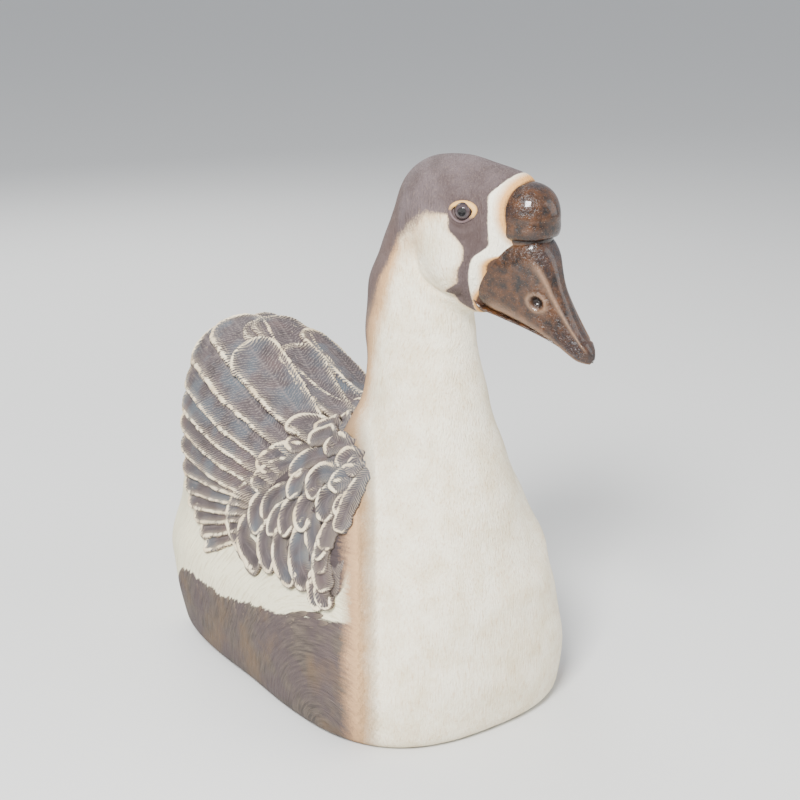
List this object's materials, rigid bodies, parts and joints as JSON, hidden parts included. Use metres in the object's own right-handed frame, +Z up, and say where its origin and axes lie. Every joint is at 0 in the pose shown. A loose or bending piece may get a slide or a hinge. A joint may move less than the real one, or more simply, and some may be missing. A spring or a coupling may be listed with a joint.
{
  "type": "stoneware garden goose statue",
  "caption": "Resting knobbed goose in glazed and slip-painted stoneware: tall turned neck, folded relief wings, fan tail laid over the rump, flat base that stands on the ground",
  "frame": {"origin": "middle of the bounding box's underside, on the plane the base stands on", "axes": "+Z up; the goose faces -Y; its right side is -X and its left side is +X"},
  "size_m": [0.2082, 0.4032, 0.3904],
  "materials": {
    "cream_slip": "matte",
    "umber_slip": "matte",
    "grey_slip": "matte",
    "brown_glaze": "gloss",
    "eye_glaze": "gloss"
  },
  "bodies": {
    "root": {"breast": "cream_slip", "neck_lower": "cream_slip", "neck_upper": "cream_slip", "head": "cream_slip", "rump": "cream_slip", "trunk": "cream_slip", "flank_left": "umber_slip", "flank_right": "umber_slip", "wing_left": "grey_slip", "wing_right": "grey_slip", "tail": "grey_slip", "bill_upper": "brown_glaze", "bill_lower": "brown_glaze", "knob": "brown_glaze", "eye_left": "eye_glaze", "eye_right": "eye_glaze"}
  },
  "joints": []
}
